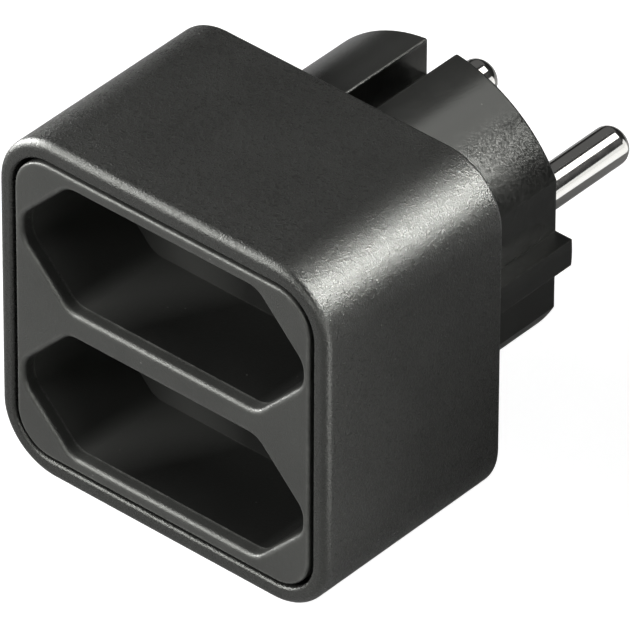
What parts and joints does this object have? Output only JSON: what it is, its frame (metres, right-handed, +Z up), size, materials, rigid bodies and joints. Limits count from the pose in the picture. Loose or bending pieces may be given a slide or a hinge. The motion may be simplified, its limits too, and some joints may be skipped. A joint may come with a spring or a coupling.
{
  "type": "plug adapter",
  "caption": "Black mains adapter with a round contour plug at the back and recessed sockets for flat plugs at the front.",
  "frame": {"origin": "middle of the plug's end face, between the pins", "axes": "+Y out of the plug along its pins, +Z up, +X to the right seen from the socket side"},
  "size_m": [0.047, 0.065, 0.045],
  "materials": {
    "housing_black": "fine spark-grain moulded black plastic",
    "plug_black": "smooth satin moulded black plastic",
    "cover_black": "satin moulded black plastic",
    "cup_black": "satin moulded black plastic",
    "inner_grey": "plain moulded grey plastic",
    "shutter_grey": "smooth moulded light grey plastic",
    "pin_nickel": "polished nickel plate on brass",
    "contact_brass": "stamped and rolled brass",
    "spring_steel": "drawn spring wire",
    "screw_steel": "zinc-plated steel"
  },
  "bodies": {
    "adapter": {"housing": "housing_black", "plug_body": "plug_black", "front_cover": "cover_black", "socket_cup_upper": "cup_black", "socket_cup_lower": "cup_black", "shutter_frame": "inner_grey", "contact_carrier": "inner_grey", "plug_pin_left": "pin_nickel", "plug_pin_right": "pin_nickel", "contact_strip_left": "contact_brass", "contact_strip_right": "contact_brass", "contact_clip_upper_left": "contact_brass", "contact_clip_upper_right": "contact_brass", "contact_clip_lower_left": "contact_brass", "contact_clip_lower_right": "contact_brass", "clip_rivets": "contact_brass", "shutter_spring_upper": "spring_steel", "shutter_spring_lower": "spring_steel", "cartridge_screws": "screw_steel"},
    "shutter_upper": {"shutter_upper": "shutter_grey"},
    "shutter_lower": {"shutter_lower": "shutter_grey"}
  },
  "joints": [
    {"name": "shutter_upper_slide", "type": "slide", "parent": "adapter", "child": "shutter_upper", "axis": [1, 0, 0], "range_m": [0, 0.0048], "stiffness_N_per_m": 60, "springref_m": -0.003, "deforming": ["shutter_spring_upper"]},
    {"name": "shutter_lower_slide", "type": "slide", "parent": "adapter", "child": "shutter_lower", "axis": [1, 0, 0], "range_m": [0, 0.0048], "stiffness_N_per_m": 60, "springref_m": -0.003, "deforming": ["shutter_spring_lower"]}
  ]
}
